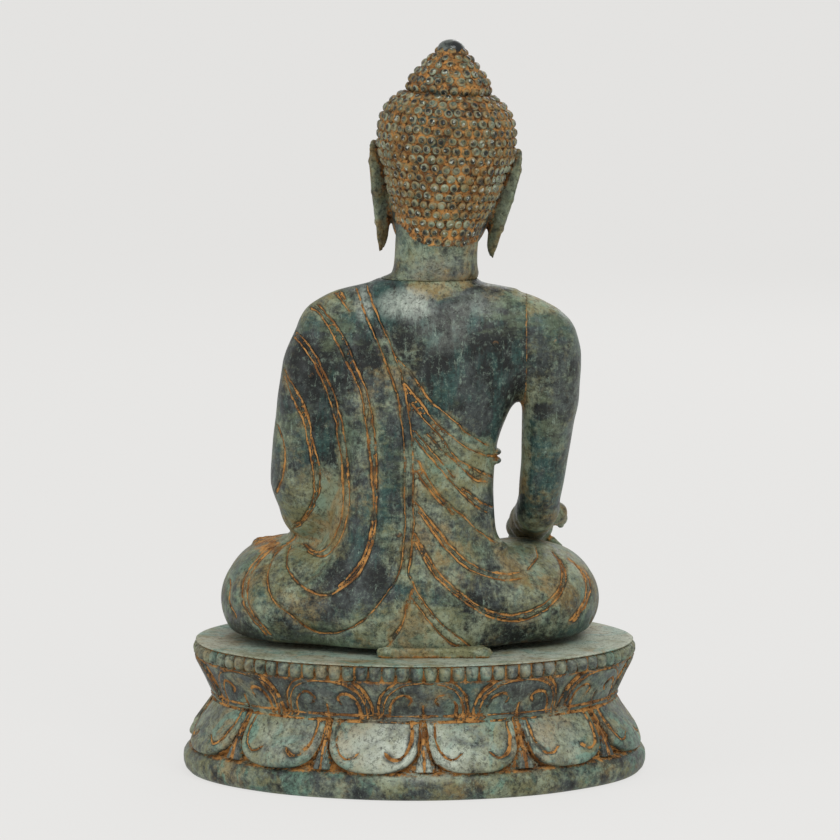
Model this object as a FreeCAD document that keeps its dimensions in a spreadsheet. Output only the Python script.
"""Seated Buddha on a double lotus base: a hollow bronze casting set, in millimetres.

The figure faces -Y, +Z is up, and the origin is the centre of the base's underside.
The castings are hollow. The head and the right arm are sleeved, pinned and brazed to the
seated body, and the body stands on lugs and is tied down through the deck of the base.
"""
import FreeCAD, Part
import math
import os

Vector = FreeCAD.Vector
doc = FreeCAD.newDocument("buddha_statue")
sheet = doc.addObject("Spreadsheet::Sheet", "Sizes")

# ---------------------------------------------------------------- driving dimensions

SIZES = {
    # lotus base: half widths of its ellipses, and the heights they lie at
    "base_half_width": 92.0,
    "depth_ratio": 0.75,
    "foot_half_width": 90.0,
    "plinth_low": 3.0,
    "plinth_high": 9.0,
    "skirt_half_width": 87.5,
    "skirt_height": 10.5,
    "waist_half_width": 79.5,
    "waist_height": 31.0,
    "rim_half_width": 87.5,
    "rim_low": 46.0,
    "rim_high": 51.0,
    "deck_half_width": 86.0,
    "deck_height": 53.0,
    "base_wall": 3.5,
    "petal_count": 12,
    "petal_bulge": 4.0,
    "petal_half_width": 20.0,
    # sealing plate in the foot
    "plate_thickness": 1.5,
    "plate_recess": 1.5,
    "plate_half_width": 86.0,
    "plate_clearance": 0.15,
    # figure
    "figure_wall": 4.5,
    "seat_gap": 2.5,
    "neck_seam": 199.0,
    "neck_radius": 16.3,
    "neck_bore": 11.5,
    "arm_seam": -44.0,
    "armpit": 147.0,
    "crown_flat": 289.5,
    # sleeve, dowel, pins and plugs
    "sleeve_length": 20.0,
    "sleeve_wall": 2.0,
    "pin_radius": 1.2,
    "neck_pin_offset": 5.0,
    "dowel_radius": 4.0,
    "dowel_length": 34.0,
    "dowel_place_y": 13.0,
    "dowel_place_z": 175.0,
    "arm_pin_offset": 12.0,
    "plug_radius": 1.3,
    "plug_depth": 8.0,
    # tie rod, its bar, washer and nut
    "rod_radius": 3.0,
    "rod_clearance": 0.3,
    "rod_place_y": 12.0,
    "rod_low": 39.0,
    "bar_width": 14.0,
    "bar_thickness": 5.0,
    "bar_height": 73.0,
    "washer_radius": 9.0,
    "washer_thickness": 1.6,
    "nut_across_flats": 10.0,
    "nut_thickness": 5.0,
    # jewel on the crown
    "jewel_radius": 7.0,
    "jewel_height": 5.5,
    "spigot_radius": 2.4,
    "spigot_length": 8.0,
    # alms bowl
    "bowl_radius": 11.5,
    "bowl_foot_radius": 6.5,
    "bowl_mouth_radius": 9.5,
    "bowl_height": 11.0,
    "bowl_wall": 1.8,
    "bowl_clearance": 0.3,
    "bowl_place_x": 3.0,
    "bowl_place_y": -26.0,
    "bowl_place_z": 97.5,
}

# cross-sections of the torso: height, centre x, centre y, half width, half depth
TORSO = {
    "seat": (55.0, 0.0, 16.0, 42.0, 31.0),
    "hip": (85.0, 0.0, 19.5, 36.0, 24.5),
    "waist": (108.0, 0.5, 18.5, 33.0, 20.5),
    "ribs": (130.0, -0.5, 17.0, 35.0, 21.0),
    "chest": (152.0, -3.5, 15.5, 42.0, 22.5),
    "shoulder": (172.0, -6.0, 14.5, 48.0, 20.0),
    "collar": (187.0, -7.0, 13.5, 37.0, 17.0),
    "nape": (195.0, -8.0, 13.0, 20.0, 16.0),
}

# rounded masses: centre x, y, z and half sizes along x, y, z
MASSES = {
    "hips": (0.0, 14.0, 70.0, 48.0, 33.0, 27.0),
    "left_thigh": (42.0, -8.0, 70.0, 35.0, 44.0, 23.0),
    "right_thigh": (-39.5, -8.5, 70.0, 34.5, 43.5, 22.5),
    "shins": (1.0, -29.0, 68.0, 61.0, 26.0, 18.0),
    "left_sleeve": (38.5, 12.0, 141.0, 18.5, 19.0, 48.0),
    "left_forearm": (30.0, -8.0, 102.0, 27.0, 22.0, 14.0),
    "left_hand": (3.0, -26.0, 92.0, 20.0, 13.0, 7.0),
    "right_foot": (50.0, -21.0, 90.0, 14.0, 9.5, 5.5),
    "skull": (-13.2, 8.5, 242.0, 28.0, 30.5, 29.0),
    "jaw": (-11.5, -1.0, 228.0, 21.5, 21.5, 23.0),
    "crown": (-14.6, 11.0, 272.0, 18.5, 18.5, 20.0),
    "left_ear": (15.0, 6.0, 231.0, 3.2, 8.0, 19.0),
    "right_ear": (-38.5, 6.0, 228.0, 3.2, 8.0, 19.0),
    "right_elbow": (-50.0, 6.5, 104.0, 8.8, 9.0, 8.0),
    "right_hand": (-47.0, -46.0, 80.0, 9.0, 7.0, 17.0),
    "right_thumb": (-56.0, -42.0, 91.0, 4.8, 5.0, 8.5),
}

# level sections of the upper arm: centre x, y, z and radius
UPPER_ARM = {
    "root": (-50.0, 8.0, 100.0, 7.5),
    "elbow": (-50.5, 9.0, 109.0, 8.6),
    "middle": (-52.0, 11.0, 122.0, 9.3),
    "biceps": (-54.0, 12.5, 145.0, 10.8),
    "armpit": (-53.5, 13.0, 162.0, 13.0),
    "shoulder": (-51.0, 13.0, 175.0, 14.0),
    "shoulder_high": (-47.5, 13.0, 185.0, 11.0),
    "shoulder_top": (-46.5, 13.0, 188.5, 5.0),
}

# upright sections of the forearm: centre x, y, z and radius
FOREARM = {
    "root": (-50.0, 12.0, 104.0, 7.0),
    "elbow": (-50.0, 4.0, 103.0, 8.6),
    "middle": (-49.0, -16.0, 99.0, 8.0),
    "narrow": (-48.0, -34.0, 94.5, 6.9),
    "wrist": (-47.8, -44.0, 92.5, 6.6),
}

LUGS = {  # place x, place y, length along x, depth along y
    "rear": (-8.0, 43.5, 40.0, 9.0),
    "front_left": (38.0, -38.0, 14.0, 7.0),
    "front_right": (-38.0, -38.0, 14.0, 7.0),
}

PLUGS = {  # place x, z, and which side of the wall: rear 1 or front -1
    "rear_upper": (40.4, 162.0, 1.0),
    "rear_lower": (6.0, 101.0, 1.0),
    "front_upper": (-4.0, 158.0, -1.0),
    "front_lower": (-2.0, 118.0, -1.0),
}


def fill_sheet(table):
    """Writes each named value in column B, with its name in column A and as its alias."""
    for row, (alias, value) in enumerate(table.items(), start=1):
        sheet.set(f"A{row}", alias)
        sheet.set(f"B{row}", str(value))
        sheet.setAlias(f"B{row}", alias)


def flat_table():
    """All the tables as one, each value named after its row and column."""
    table = dict(SIZES)
    columns = (
        (TORSO, "torso", ("height", "cx", "cy", "half_width", "half_depth")),
        (MASSES, "mass", ("cx", "cy", "cz", "half_x", "half_y", "half_z")),
        (UPPER_ARM, "upper_arm", ("cx", "cy", "cz", "radius")),
        (FOREARM, "forearm", ("cx", "cy", "cz", "radius")),
        (LUGS, "lug", ("cx", "cy", "length", "depth")),
        (PLUGS, "plug", ("cx", "cz", "side")),
    )
    for rows, family, names in columns:
        for row, values in rows.items():
            for name, value in zip(names, values):
                table[f"{family}_{row}_{name}"] = value
    return table


fill_sheet(flat_table())
doc.recompute()


def size(alias):
    """A value read back from the sheet."""
    return float(sheet.get(alias))


# ---------------------------------------------------------------- building blocks


def make(kind, name, **expressions):
    """A document object whose properties are bound to the sheet; __ in a name stands for a dot."""
    thing = doc.addObject(kind, name)
    for prop, expression in expressions.items():
        thing.setExpression(prop.replace("__", "."), expression)
    return thing


def oval(name, half_width, height):
    """A horizontal ellipse of the base, its depth following its width."""
    return make(
        "Part::Ellipse",
        name,
        MajorRadius=half_width,
        MinorRadius=f"({half_width}) * Sizes.depth_ratio",
        Placement__Base__z=height,
    )


def loft(name, sections, ruled=False):
    """A closed solid through the sections."""
    body = doc.addObject("Part::Loft", name)
    body.Sections = sections
    body.Solid = True
    body.Ruled = ruled
    return body


def mass(row, inset="0"):
    """A rounded mass from the sheet, shrunk all round by the inset."""
    base = f"Sizes.mass_{row}"
    return make(
        "Part::Ellipsoid",
        f"{row}_{'core' if inset != '0' else 'mass'}",
        Radius1=f"{base}_half_z - {inset}",
        Radius2=f"{base}_half_x - {inset}",
        Radius3=f"{base}_half_y - {inset}",
        Placement__Base__x=f"{base}_cx",
        Placement__Base__y=f"{base}_cy",
        Placement__Base__z=f"{base}_cz",
    )


def rod(name, radius, length, x, y, z, axis=None):
    """A cylinder that starts at a place and runs along +Z, or along another axis."""
    made = make(
        "Part::Cylinder",
        name,
        Radius=radius,
        Height=length,
        Placement__Base__x=x,
        Placement__Base__y=y,
        Placement__Base__z=z,
    )
    if axis is not None:
        made.Placement.Rotation = FreeCAD.Rotation(Vector(0, 0, 1), Vector(*axis))
    return made


def block(name, length, depth, height, x, y, z):
    """A box centred on x and y, with its floor at z."""
    return make(
        "Part::Box",
        name,
        Length=length,
        Width=depth,
        Height=height,
        Placement__Base__x=f"({x}) - ({length}) / 2",
        Placement__Base__y=f"({y}) - ({depth}) / 2",
        Placement__Base__z=z,
    )


def fuse(name, parts):
    """Parts joined one after another; a single part comes back as it is."""
    joined = parts[0]
    for number, part in enumerate(parts[1:], start=1):
        step = doc.addObject("Part::Fuse", name if number == len(parts) - 1 else f"{name}_{number}")
        step.Base = joined
        step.Tool = part
        joined = step
    return joined


def cut(name, base, tool):
    body = doc.addObject("Part::Cut", name)
    body.Base = base
    body.Tool = tool
    return body


def common(name, parts):
    body = doc.addObject("Part::MultiCommon", name)
    body.Shapes = parts
    return body


def stations(count, half_width, half_depth, phase):
    """Places at equal distances along an ellipse, as the angle, the point and the outward normal."""
    steps = 3600
    angles = [2 * math.pi * i / steps for i in range(steps + 1)]
    run = [0.0]
    for a, b in zip(angles, angles[1:]):
        dx = half_width * (math.sin(b) - math.sin(a))
        dy = half_depth * (math.cos(b) - math.cos(a))
        run.append(run[-1] + math.hypot(dx, dy))
    found, at = [], 0
    for i in range(count):
        target = (i + phase) / count * run[-1] % run[-1]
        at = next(k for k in range(steps) if run[k + 1] >= target)
        t = angles[at]
        point = Vector(half_width * math.sin(t), half_depth * math.cos(t), 0)
        normal = Vector(math.sin(t) / half_width, math.cos(t) / half_depth, 0).normalize()
        found.append((point, normal))
    return found


def body_origin_plane(body, role):
    return next(f for f in body.Origin.OriginFeatures if f.Role == role)


# ---------------------------------------------------------------- lotus base


def petal_row(name, low, high, low_width, high_width, phase):
    """A row of rounded petals lying on the slope between two heights."""
    middle = (size(low_width) + size(high_width)) / 2
    rise, run = size(high) - size(low), size(high_width) - size(low_width)
    tilt = math.degrees(math.atan2(-run, rise))
    petals = []
    places = stations(int(size("petal_count")), middle, middle * size("depth_ratio"), phase)
    for number, (point, normal) in enumerate(places):
        petal = make(
            "Part::Ellipsoid",
            f"{name}_petal_{number}",
            Radius1="Sizes.petal_bulge",
            Radius2=f"hypot(Sizes.{high} - Sizes.{low}; Sizes.{high_width} - Sizes.{low_width}) * 0.56",
            Radius3="Sizes.petal_half_width",
        )
        outward = normal * math.cos(math.radians(tilt)) + Vector(0, 0, math.sin(math.radians(tilt)))
        across = Vector(-normal.y, normal.x, 0)
        turn = FreeCAD.Rotation(across.cross(outward), across, outward, "ZXY")
        place = point + Vector(0, 0, (size(low) + size(high)) / 2) - outward * 0.8
        petal.Placement = FreeCAD.Placement(place, turn)
        petals.append(petal)
    return petals


def lotus_base():
    """One hollow casting: plinth, two rows of petals back to back, beaded rim and deck."""
    outside = loft(
        "base_outside",
        [
            oval("foot_oval", "Sizes.foot_half_width", "0"),
            oval("plinth_low_oval", "Sizes.base_half_width", "Sizes.plinth_low"),
            oval("plinth_high_oval", "Sizes.base_half_width", "Sizes.plinth_high"),
            oval("skirt_oval", "Sizes.skirt_half_width", "Sizes.skirt_height"),
            oval("waist_oval", "Sizes.waist_half_width", "Sizes.waist_height"),
            oval("rim_low_oval", "Sizes.rim_half_width", "Sizes.rim_low"),
            oval("rim_high_oval", "Sizes.rim_half_width", "Sizes.rim_high"),
            oval("deck_oval", "Sizes.deck_half_width", "Sizes.deck_height"),
        ],
        ruled=True,
    )
    wall = "Sizes.base_wall"
    ledge = "Sizes.plate_recess + Sizes.plate_thickness"
    hollow = loft(
        "base_hollow",
        [
            oval("ledge_oval", "Sizes.plate_half_width - 2", ledge),
            oval("skirt_in_oval", f"Sizes.skirt_half_width - {wall}", "Sizes.skirt_height"),
            oval("waist_in_oval", f"Sizes.waist_half_width - {wall}", "Sizes.waist_height"),
            oval("rim_in_oval", f"Sizes.rim_half_width - {wall}", "Sizes.rim_low"),
            oval("deck_in_oval", f"Sizes.rim_half_width - {wall}", f"Sizes.deck_height - {wall}"),
        ],
        ruled=True,
    )
    rebate = loft(
        "plate_rebate",
        [
            oval("rebate_low_oval", "Sizes.plate_half_width", "-1"),
            oval("rebate_high_oval", "Sizes.plate_half_width", ledge),
        ],
        ruled=True,
    )
    rod_hole = rod(
        "deck_hole",
        "Sizes.rod_radius + Sizes.rod_clearance",
        "20",
        "0",
        "Sizes.rod_place_y",
        "Sizes.deck_height - 10",
    )
    lower = petal_row("lower", "skirt_height", "waist_height", "skirt_half_width", "waist_half_width", 0.5)
    upper = petal_row("upper", "waist_height", "rim_low", "waist_half_width", "rim_half_width", 0.0)
    flowered = doc.addObject("Part::MultiFuse", "flowered_outside")
    flowered.Shapes = [outside] + lower + upper
    hollowed = cut("base_hollowed", flowered, hollow)
    return cut("lotus_base", cut("base_rebated", hollowed, rebate), rod_hole)


def sealing_plate():
    """The sheet that closes the foot, as a padded sketch."""
    body = doc.addObject("PartDesign::Body", "base_plate")
    sketch = body.newObject("Sketcher::SketchObject", "plate_outline")
    sketch.AttachmentSupport = [(body_origin_plane(body, "XY_Plane"), "")]
    sketch.MapMode = "FlatFace"
    half_width = size("plate_half_width") - size("plate_clearance")
    half_depth = size("plate_half_width") * size("depth_ratio") - size("plate_clearance")
    sketch.addGeometry(
        Part.Ellipse(Vector(half_width, 0, 0), Vector(0, half_depth, 0), Vector(0, 0, 0)), False
    )
    pad = body.newObject("PartDesign::Pad", "plate_pad")
    pad.Profile = sketch
    pad.setExpression("Length", "Sizes.plate_thickness")
    body.setExpression("Placement.Base.z", "Sizes.plate_recess")
    return body


# ---------------------------------------------------------------- figure


def torso(name, inset, floor, ceiling):
    """The trunk through its cross-sections, between two rows of the table."""
    rows = list(TORSO)[list(TORSO).index(floor): list(TORSO).index(ceiling) + 1]
    sections = [
        make(
            "Part::Ellipse",
            f"{name}_{row}",
            MajorRadius=f"Sizes.torso_{row}_half_width - {inset}",
            MinorRadius=f"Sizes.torso_{row}_half_depth - {inset}",
            Placement__Base__x=f"Sizes.torso_{row}_cx",
            Placement__Base__y=f"Sizes.torso_{row}_cy",
            Placement__Base__z=f"Sizes.torso_{row}_height",
        )
        for row in rows
    ]
    return loft(name, sections)


NECK_X = "Sizes.torso_nape_cx - 0.6"
NECK_Y = "Sizes.torso_nape_cy"


def limb(name, rows, normal):
    """A loft through the round sections of a table, all facing the same way."""
    turn = FreeCAD.Rotation(Vector(0, 0, 1), Vector(*normal))
    rings = []
    for row in rows:
        ring = make(
            "Part::Circle",
            f"{name}_{row}_ring",
            Radius=f"Sizes.{name}_{row}_radius",
            Placement__Base__x=f"Sizes.{name}_{row}_cx",
            Placement__Base__y=f"Sizes.{name}_{row}_cy",
            Placement__Base__z=f"Sizes.{name}_{row}_cz",
        )
        ring.Placement.Rotation = turn
        rings.append(ring)
    return loft(name, rings)


def half_space(name, low, high):
    """A large box between two corners, each a triple of expressions."""
    (x0, y0, z0), (x1, y1, z1) = low, high
    return make(
        "Part::Box",
        name,
        Length=f"({x1}) - ({x0})",
        Width=f"({y1}) - ({y0})",
        Height=f"({z1}) - ({z0})",
        Placement__Base__x=x0,
        Placement__Base__y=y0,
        Placement__Base__z=z0,
    )


WALL = "Sizes.figure_wall"
SEAM_WALL = f"Sizes.arm_seam + {WALL} + 1.5"


def body_outside():
    """The outer form of the seated body, before it is trimmed at its seams."""
    legs = [mass(row) for row in ("left_thigh", "right_thigh", "shins", "hips")]
    limbs = [mass(row) for row in ("left_sleeve", "left_forearm", "left_hand", "right_foot")]
    neck = rod("neck_root", "Sizes.neck_radius", "Sizes.neck_seam - 180", NECK_X, NECK_Y, "180")
    return fuse("body_outside", [torso("trunk", "0", "seat", "nape")] + legs + limbs + [neck])


def body_core():
    """The space inside the seated body, open underneath and up through the neck."""
    legs = [mass(row, WALL) for row in ("left_thigh", "right_thigh", "shins", "hips")]
    bore = rod("neck_bore_low", "Sizes.neck_bore", "Sizes.neck_seam - 169", NECK_X, NECK_Y, "170")
    whole = fuse("body_core_whole", [torso("trunk_core", WALL, "seat", "shoulder")] + legs + [bore])
    room = half_space("core_room", (SEAM_WALL, "-90", "0"), ("90", "90", "Sizes.neck_seam + 1"))
    legs_room = half_space("core_legs_room", ("-90", "-90", "0"), (SEAM_WALL, "90", "110"))
    return common("body_core", [whole, fuse("core_rooms", [room, legs_room])])


def seated_body(outside, voids):
    """Torso, crossed legs, draped left arm and left hand: one hollow casting open underneath."""
    floor = "Sizes.deck_height + Sizes.seat_gap"
    kept = half_space("body_room", ("Sizes.arm_seam", "-90", floor), ("90", "90", "Sizes.neck_seam"))
    legs_room = half_space("legs_room", ("-90", "-90", floor), ("Sizes.arm_seam", "90", "110"))
    shaped = common("body_shaped", [outside, fuse("body_rooms", [kept, legs_room])])
    for number, void in enumerate(voids, start=1):
        shaped = cut("seated_body" if number == len(voids) else f"body_cut_{number}", shaped, void)
    return shaped


def head(voids):
    """Skull, crown, face, ears and neck: one hollow casting, open at the neck."""
    neck = rod("neck_stem", "Sizes.neck_radius", "24", NECK_X, NECK_Y, "Sizes.neck_seam")
    masses = [mass(row) for row in ("skull", "jaw", "crown", "left_ear", "right_ear")]
    outside = fuse("head_outside", masses + [neck])
    kept = half_space("head_room", ("-90", "-90", "Sizes.neck_seam"), ("90", "90", "Sizes.crown_flat"))
    bore = rod("neck_bore_high", "Sizes.neck_bore", "30", NECK_X, NECK_Y, "Sizes.neck_seam")
    core = fuse("head_core", [mass("skull", WALL), mass("crown", WALL), bore])
    shaped = common("head_shaped", [outside, kept])
    voids = [core] + voids
    for number, void in enumerate(voids, start=1):
        shaped = cut("head" if number == len(voids) else f"head_cut_{number}", shaped, void)
    return shaped


def arm_outside():
    thumb = mass("right_thumb")
    thumb.Placement.Rotation = FreeCAD.Rotation(Vector(0, 0, 1), 150)
    upper = limb("upper_arm", UPPER_ARM, (0, 0, 1))
    fore = limb("forearm", FOREARM, (0.02, -1, -0.2))
    return fuse("arm_outside", [upper, fore, mass("right_elbow"), mass("right_hand"), thumb])


def right_arm(outside, voids):
    """Bare right arm with its hand, cast solid and joined at the shoulder, resting on the knee."""
    beyond = half_space("arm_limit", ("Sizes.arm_seam", "-90", "Sizes.armpit"), ("20", "90", "250"))
    shaped = cut("arm_shaped", outside, beyond)
    for number, void in enumerate(voids, start=1):
        shaped = cut("right_arm" if number == len(voids) else f"arm_cut_{number}", shaped, void)
    return shaped


# ---------------------------------------------------------------- joints of the figure


def neck_sleeve():
    """The tube that lines both halves of the neck."""
    half = "Sizes.sleeve_length / 2"
    bottom = f"Sizes.neck_seam - {half}"
    outer = rod("sleeve_outer", "Sizes.neck_bore", "Sizes.sleeve_length", NECK_X, NECK_Y, bottom)
    inner = rod(
        "sleeve_inner",
        "Sizes.neck_bore - Sizes.sleeve_wall",
        "Sizes.sleeve_length + 2",
        NECK_X,
        NECK_Y,
        f"{bottom} - 1",
    )
    return cut("sleeve_tube", outer, inner)


def neck_pin(name, height):
    """A pin from the back of the neck through the sleeve."""
    inner = f"{NECK_Y} + Sizes.neck_bore - Sizes.sleeve_wall - 0.5"
    length = "Sizes.neck_radius - Sizes.neck_bore + Sizes.sleeve_wall + 0.5"
    return rod(name, "Sizes.pin_radius", length, NECK_X, inner, height, axis=(0, 1, 0))


def arm_dowel():
    """The dowel across the shoulder seam."""
    return rod(
        "shoulder_dowel",
        "Sizes.dowel_radius",
        "Sizes.dowel_length",
        "Sizes.arm_seam - Sizes.dowel_length / 2",
        "Sizes.dowel_place_y",
        "Sizes.dowel_place_z",
        axis=(1, 0, 0),
    )


def arm_pin(name, side, outside):
    """A pin driven from behind through the wall and the dowel, cut flush with the surface."""
    shank = rod(
        f"{name}_shank",
        "Sizes.pin_radius",
        "40",
        f"Sizes.arm_seam + {side} * Sizes.arm_pin_offset",
        "Sizes.dowel_place_y - Sizes.dowel_radius - 1",
        "Sizes.dowel_place_z",
        axis=(0, 1, 0),
    )
    return shank, common(name, [shank, outside])


def plug(row, outside):
    """A round plug of a core-pin hole, cut flush with the surface."""
    base = f"Sizes.plug_{row}"
    side = size(f"plug_{row}_side")
    centre = Vector(size(f"plug_{row}_cx"), 0, size(f"plug_{row}_cz"))
    ray = Part.makeLine(centre + Vector(0, -90, 0), centre + Vector(0, 90, 0))
    hit = outside.Shape.common(ray).BoundBox
    surface = hit.YMax if side > 0 else hit.YMin
    shank = rod(
        f"plug_{row}_shank",
        "Sizes.plug_radius",
        "Sizes.plug_depth + 5",
        f"{base}_cx",
        str(round(surface - side * size("plug_depth"), 3)),
        f"{base}_cz",
        axis=(0, side, 0),
    )
    return shank, common(f"plug_{row}", [shank, outside])


def jewel():
    """The smooth jewel on the crown, turned in one with its spigot."""
    radius, height = size("jewel_radius"), size("jewel_height")
    spigot, length = size("spigot_radius"), size("spigot_length")
    body = doc.addObject("PartDesign::Body", "ushnisha_jewel")
    sketch = body.newObject("Sketcher::SketchObject", "jewel_profile")
    sketch.AttachmentSupport = [(body_origin_plane(body, "XZ_Plane"), "")]
    sketch.MapMode = "FlatFace"
    corners = [(0, -length), (spigot, -length), (spigot, 0), (radius, 0), (radius, height * 0.3)]
    for a, b in zip(corners, corners[1:]):
        sketch.addGeometry(Part.LineSegment(Vector(*a, 0), Vector(*b, 0)), False)
    shoulder, top = Vector(*corners[-1], 0), Vector(0, height, 0)
    dome = (radius**2 + (height * 0.7) ** 2) / (2 * height * 0.7)
    turn = math.asin(radius / dome) / 2
    middle = Vector(dome * math.sin(turn), height - dome * (1 - math.cos(turn)), 0)
    sketch.addGeometry(Part.Arc(shoulder, middle, top), False)
    sketch.addGeometry(Part.LineSegment(top, Vector(0, -length, 0)), False)
    turned = body.newObject("PartDesign::Revolution", "jewel_turned")
    turned.Profile = sketch
    turned.ReferenceAxis = (sketch, ["V_Axis"])
    turned.Angle = 360
    body.setExpression("Placement.Base.x", "Sizes.mass_crown_cx")
    body.setExpression("Placement.Base.y", "Sizes.mass_crown_cy")
    body.setExpression("Placement.Base.z", "Sizes.crown_flat")
    return body


def alms_bowl():
    """The round bowl in the left hand, turned with a flat foot and a thin wall."""
    radius, foot, mouth = size("bowl_radius"), size("bowl_foot_radius"), size("bowl_mouth_radius")
    height, wall = size("bowl_height"), size("bowl_wall")
    body = doc.addObject("PartDesign::Body", "alms_bowl")
    sketch = body.newObject("Sketcher::SketchObject", "bowl_profile")
    sketch.AttachmentSupport = [(body_origin_plane(body, "XZ_Plane"), "")]
    sketch.MapMode = "FlatFace"
    floor, foot_edge = Vector(0, 0, 0), Vector(foot, 0, 0)
    lip, lip_in = Vector(mouth, height, 0), Vector(mouth - wall, height, 0)
    well, inside = Vector(foot - 2 * wall, wall, 0), Vector(0, wall, 0)
    sketch.addGeometry(Part.LineSegment(floor, foot_edge), False)
    sketch.addGeometry(Part.Arc(foot_edge, Vector(radius, height * 0.55, 0), lip), False)
    sketch.addGeometry(Part.LineSegment(lip, lip_in), False)
    sketch.addGeometry(Part.Arc(lip_in, Vector(radius - wall, height * 0.55, 0), well), False)
    sketch.addGeometry(Part.LineSegment(well, inside), False)
    sketch.addGeometry(Part.LineSegment(inside, floor), False)
    turned = body.newObject("PartDesign::Revolution", "bowl_turned")
    turned.Profile = sketch
    turned.ReferenceAxis = (sketch, ["V_Axis"])
    turned.Angle = 360
    for axis in ("x", "y", "z"):
        body.setExpression(f"Placement.Base.{axis}", f"Sizes.bowl_place_{axis}")
    return body


# ---------------------------------------------------------------- fixing to the base


def seat_lug(row):
    """A low block of filler metal between the deck and the rim of the figure."""
    base = f"Sizes.lug_{row}"
    lug = block(
        f"{row}_block",
        f"{base}_length",
        f"{base}_depth",
        "Sizes.seat_gap",
        f"{base}_cx",
        f"{base}_cy",
        "Sizes.deck_height",
    )
    lug.recompute()
    softened = doc.addObject("Part::Chamfer", f"{row}_lug")
    softened.Base = lug
    upright = [
        number
        for number, edge in enumerate(lug.Shape.Edges, start=1)
        if abs(edge.tangentAt(edge.FirstParameter).z) > 0.9
    ]
    softened.Edges = [(number, 2.0, 2.0) for number in upright]
    return softened


def cross_bar(core, rod_solid):
    """A flat bar brazed across the inside of the figure, its ends shaped to the wall."""
    bar = block(
        "bar_blank",
        "Sizes.bar_width",
        "120",
        "Sizes.bar_thickness",
        "0",
        "0",
        "Sizes.bar_height",
    )
    return cut("cross_bar", common("bar_shaped", [bar, core]), rod_solid)


def tie_rod():
    """The rod from the cross bar down through the deck."""
    top = "Sizes.bar_height + Sizes.bar_thickness"
    return rod("tie_rod", "Sizes.rod_radius", f"{top} - Sizes.rod_low", "0", "Sizes.rod_place_y",
               "Sizes.rod_low")


def tie_washer():
    under_deck = "Sizes.deck_height - Sizes.base_wall"
    bottom = f"{under_deck} - Sizes.washer_thickness"
    disc = rod("washer_disc", "Sizes.washer_radius", "Sizes.washer_thickness", "0",
               "Sizes.rod_place_y", bottom)
    hole = rod("washer_hole", "Sizes.rod_radius + Sizes.rod_clearance", "6", "0",
               "Sizes.rod_place_y", f"{bottom} - 2")
    return cut("tie_washer", disc, hole)


def tie_nut():
    bottom = (
        "Sizes.deck_height - Sizes.base_wall - Sizes.washer_thickness - Sizes.nut_thickness"
    )
    hexagon = make(
        "Part::Prism",
        "nut_hexagon",
        Circumradius="Sizes.nut_across_flats / 2 / cos(30)",
        Height="Sizes.nut_thickness",
        Placement__Base__y="Sizes.rod_place_y",
        Placement__Base__z=bottom,
    )
    hexagon.Polygon = 6
    bore = rod("nut_bore", "Sizes.rod_radius", "9", "0", "Sizes.rod_place_y", f"{bottom} - 2")
    return cut("tie_nut", hexagon, bore)


def group(name, parts):
    """Identical pieces kept together as one node."""
    together = doc.addObject("Part::Compound", name)
    together.Links = parts
    return together


# ---------------------------------------------------------------- the assembly


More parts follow.
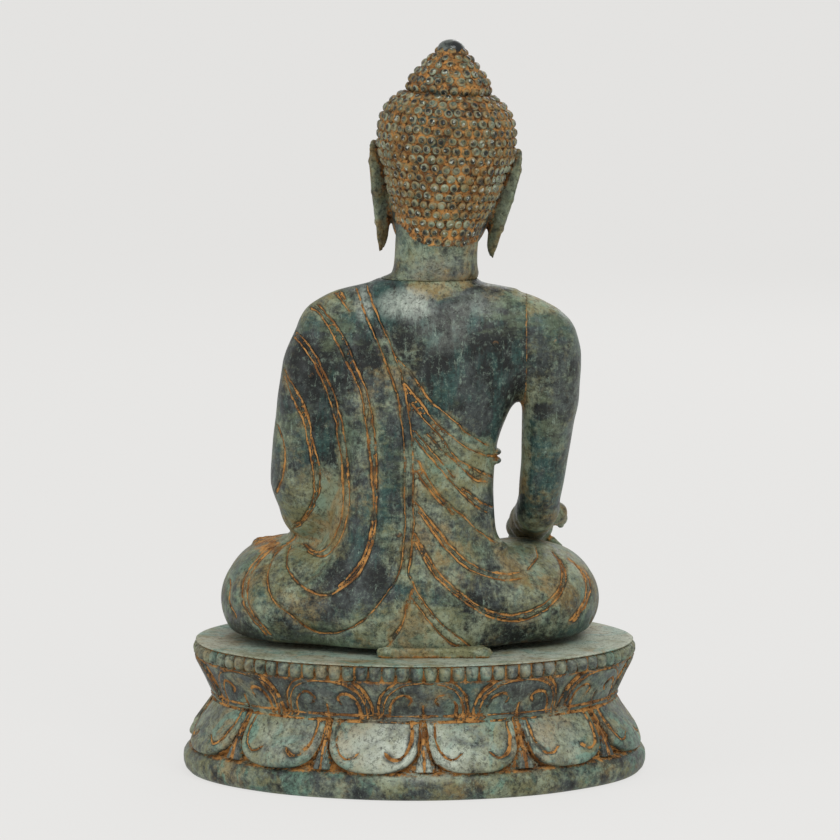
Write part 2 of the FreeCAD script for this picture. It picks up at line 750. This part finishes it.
def build():
    """Every piece by name, as document objects."""
    nodes = {"lotus_base": lotus_base(), "base_plate": sealing_plate()}
    trunk_form, limb_form, core = body_outside(), arm_outside(), body_core()
    nodes["neck_sleeve"] = neck_sleeve()
    sleeve_room = rod(
        "sleeve_room",
        "Sizes.neck_bore",
        "Sizes.sleeve_length",
        NECK_X,
        NECK_Y,
        "Sizes.neck_seam - Sizes.sleeve_length / 2",
    )
    low_pin = neck_pin("neck_pin_low", "Sizes.neck_seam - Sizes.neck_pin_offset")
    high_pin = neck_pin("neck_pin_high", "Sizes.neck_seam + Sizes.neck_pin_offset")
    nodes["neck_sleeve"] = cut("neck_sleeve", cut("sleeve_cut", nodes["neck_sleeve"], low_pin), high_pin)
    doc.recompute()

    inner_shank, inner_pin = arm_pin("arm_pin_inner", 1, trunk_form)
    outer_shank, outer_pin = arm_pin("arm_pin_outer", -1, limb_form)
    dowel = arm_dowel()
    nodes["arm_dowel"] = cut("arm_dowel", cut("dowel_cut", dowel, inner_shank), outer_shank)
    plugs = [plug(row, trunk_form) for row in PLUGS]
    bowl_room = rod(
        "bowl_room",
        "Sizes.bowl_radius + Sizes.bowl_clearance",
        "30",
        "Sizes.bowl_place_x",
        "Sizes.bowl_place_y",
        "Sizes.bowl_place_z",
    )
    spigot_room = rod(
        "spigot_room",
        "Sizes.spigot_radius",
        "Sizes.spigot_length + 5",
        "Sizes.mass_crown_cx",
        "Sizes.mass_crown_cy",
        "Sizes.crown_flat - Sizes.spigot_length",
    )
    body_voids = [core, sleeve_room, bowl_room, low_pin, dowel, inner_shank]
    nodes["seated_body"] = seated_body(trunk_form, body_voids + [shank for shank, _ in plugs])
    nodes["head"] = head([spigot_room, high_pin])
    knee = next(thing for thing in doc.Objects if thing.Name == "right_thigh_mass")
    nodes["right_arm"] = right_arm(limb_form, [knee, dowel, outer_shank])
    nodes["neck_pins"] = group("neck_pins", [low_pin, high_pin])
    nodes["arm_pins"] = group("arm_pins", [inner_pin, outer_pin])
    nodes["core_pin_plugs"] = group("core_pin_plugs", [made for _, made in plugs])
    nodes["ushnisha_jewel"] = jewel()
    nodes["alms_bowl"] = alms_bowl()

    nodes["rear_seat_lug"] = seat_lug("rear")
    nodes["front_seat_lugs"] = group("front_seat_lugs", [seat_lug("front_left"), seat_lug("front_right")])
    nodes["tie_rod"] = tie_rod()
    nodes["cross_bar"] = cross_bar(core, nodes["tie_rod"])
    nodes["tie_washer"] = tie_washer()
    nodes["tie_nut"] = tie_nut()
    doc.recompute()
    return nodes


def check(nodes):
    """Stops if any object failed or any piece is not a valid solid."""
    for thing in doc.Objects:
        if "Invalid" in thing.State or "Error" in thing.State:
            raise RuntimeError(f"{thing.Name} failed: {thing.State}")
    for name, thing in nodes.items():
        shape = thing.Shape
        if shape.isNull() or not shape.isValid() or not shape.Solids:
            raise RuntimeError(f"{name} is not a valid solid")


def export(nodes):
    os.makedirs("parts", exist_ok=True)
    for name, thing in nodes.items():
        thing.Shape.exportStep(f"parts/{name}.step")


pieces = build()
check(pieces)
export(pieces)
for piece_name, piece in pieces.items():
    box = piece.Shape.optimalBoundingBox(True, False)
    print(f"{piece_name}: {len(piece.Shape.Solids)} solid(s), volume {piece.Shape.Volume:.0f}, "
          f"x {box.XMin:.1f}..{box.XMax:.1f}, y {box.YMin:.1f}..{box.YMax:.1f}, "
          f"z {box.ZMin:.1f}..{box.ZMax:.1f}")
